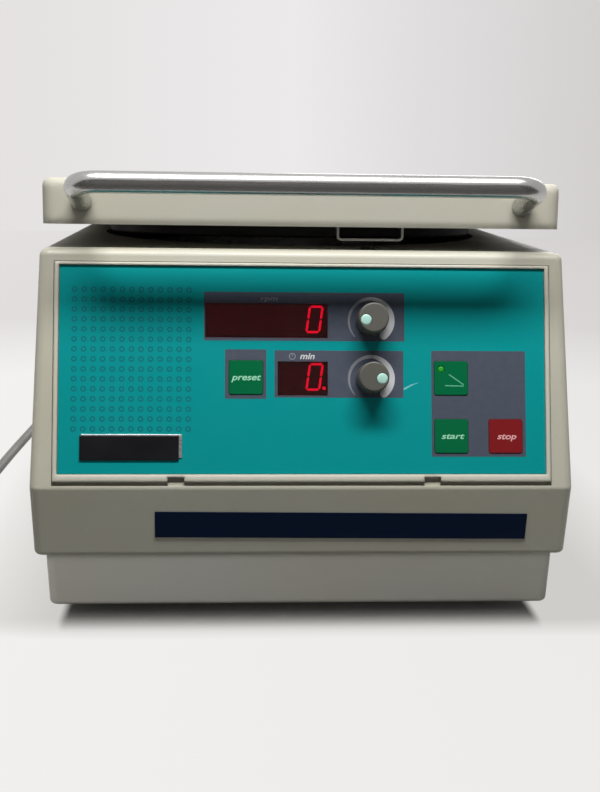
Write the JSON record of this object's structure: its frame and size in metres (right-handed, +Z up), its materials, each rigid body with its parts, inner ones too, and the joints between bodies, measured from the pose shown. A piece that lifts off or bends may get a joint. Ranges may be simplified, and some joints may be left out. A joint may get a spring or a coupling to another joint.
{
  "type": "benchtop centrifuge",
  "caption": "Benchtop centrifuge with a sloping front panel, displays, knobs and keys, a hinged lid with bar handle standing ajar over a rotor chamber, and a mains lead.",
  "frame": {"origin": "on the table, under the middle of the object's box without its lead", "axes": "+Z up, front panel towards -Y, +X to the right seen from the front"},
  "size_m": [0.4653, 0.5286, 0.2345],
  "materials": {
    "casing_beige": "fine satin texture",
    "lid_beige": "fine satin texture",
    "base_grey": "fine texture",
    "teal_film": "printed polyester film",
    "tinted_pane": "dark red filter",
    "display_black": "moulded",
    "key_green": "satin",
    "key_red": "satin",
    "lamp_green": "clear dyed lens",
    "knob_grey": "satin",
    "polished_steel": "polished tube",
    "stainless": "spun",
    "plated_steel": "zinc plated",
    "aluminium": "machined",
    "iron": "laminated",
    "black_rubber": "matte",
    "board_green": "solder mask",
    "black_plastic": "moulded",
    "clear_cover": "clear polycarbonate",
    "lead_grey": "matte sheath",
    "tie_fabric": "woven"
  },
  "bodies": {
    "housing": {"casing": "casing_beige", "base_tray": "base_grey", "rubber_feet": "black_rubber", "base_screws": "plated_steel", "panel_frame": "casing_beige", "panel_overlay": "teal_film", "display_windows": "tinted_pane", "display_modules": "display_black", "control_board": "board_green", "key_switches": "black_plastic", "status_lamp": "lamp_green", "knob_pots": "plated_steel", "rotor_bowl": "stainless", "bowl_seal": "black_rubber", "armour_ring": "plated_steel", "chassis_plate": "plated_steel", "chassis_pillars": "plated_steel", "rubber_mounts": "black_rubber", "motor_flange": "aluminium", "motor_housing": "aluminium", "bearings": "plated_steel", "stator": "iron", "hinge_blocks": "black_plastic", "pivot_pins": "plated_steel", "latch_bracket": "plated_steel", "latch_solenoid": "black_plastic", "lid_switch": "black_plastic", "mains_inlet": "black_plastic", "switch_frame": "black_plastic", "fuse_holder": "black_plastic", "transformer": "iron", "power_board": "board_green", "mains_connector": "lead_grey", "mains_cord": "lead_grey", "mains_coil": "lead_grey", "coil_tie": "tie_fabric", "mains_plug": "lead_grey"},
    "lid": {"lid_shell": "lid_beige", "lid_inner_plate": "plated_steel", "lid_seal_disc": "black_rubber", "lid_striker": "plated_steel", "lid_handle": "polished_steel", "handle_screws": "plated_steel"},
    "rotor_group": {"rotor": "aluminium", "rotor_cover": "clear_cover", "rotor_nut": "plated_steel", "drive_shaft": "plated_steel", "armature": "iron", "cooling_fan": "black_plastic"},
    "speed_control": {"speed_knob": "knob_grey", "speed_shaft": "plated_steel"},
    "timer_control": {"timer_knob": "knob_grey", "timer_shaft": "plated_steel"},
    "preset_button": {"preset_key": "key_green"},
    "lid_button": {"lid_key": "key_green"},
    "start_button": {"start_key": "key_green"},
    "stop_button": {"stop_key": "key_red"},
    "hook": {"latch_hook": "plated_steel"},
    "plunger": {"solenoid_plunger": "plated_steel"},
    "rocker": {"mains_rocker": "black_plastic"}
  },
  "joints": [
    {"name": "lid_hinge", "type": "hinge", "parent": "housing", "child": "lid", "pos_m": [0, 0.16018, 0.20566], "axis": [-1, 0, 0], "range_deg": [-2.1, 75]},
    {"name": "rotor_spin", "type": "hinge", "parent": "housing", "child": "rotor_group", "pos_m": [0, 0.01018, 0], "axis": [0, 0, 1], "continuous": true},
    {"name": "speed_turn", "type": "hinge", "parent": "housing", "child": "speed_control", "pos_m": [0.0352, -0.15706, 0.15859], "axis": [0, -0.9659, 0.2588], "range_deg": [-245, 25]},
    {"name": "timer_turn", "type": "hinge", "parent": "housing", "child": "timer_control", "pos_m": [0.0352, -0.16498, 0.12904], "axis": [0, -0.9659, 0.2588], "range_deg": [-45, 225]},
    {"name": "preset_press", "type": "slide", "parent": "housing", "child": "preset_button", "axis": [0, 0.9659, -0.2588], "range_m": [0, 0.0005], "stiffness_N_per_m": 2000},
    {"name": "lid_press", "type": "slide", "parent": "housing", "child": "lid_button", "axis": [0, 0.9659, -0.2588], "range_m": [0, 0.0005], "stiffness_N_per_m": 2000},
    {"name": "start_press", "type": "slide", "parent": "housing", "child": "start_button", "axis": [0, 0.9659, -0.2588], "range_m": [0, 0.0005], "stiffness_N_per_m": 2000},
    {"name": "stop_press", "type": "slide", "parent": "housing", "child": "stop_button", "axis": [0, 0.9659, -0.2588], "range_m": [0, 0.0005], "stiffness_N_per_m": 2000},
    {"name": "hook_swing", "type": "hinge", "parent": "housing", "child": "hook", "pos_m": [0.0364, -0.11682, 0.16266], "axis": [1, 0, 0], "range_deg": [0, 12]},
    {"name": "plunger_slide", "type": "slide", "parent": "housing", "child": "plunger", "axis": [0, 0, 1], "range_m": [0, 0.00293], "stiffness_N_per_m": 60},
    {"name": "mains_rock", "type": "hinge", "parent": "housing", "child": "rocker", "pos_m": [-0.018, 0.16718, 0.058], "axis": [1, 0, 0], "range_deg": [0, 14]}
  ],
  "couplings": [
    {"joint": "hook_swing", "follows": "plunger_slide", "rad_per_m": 71.429}
  ]
}
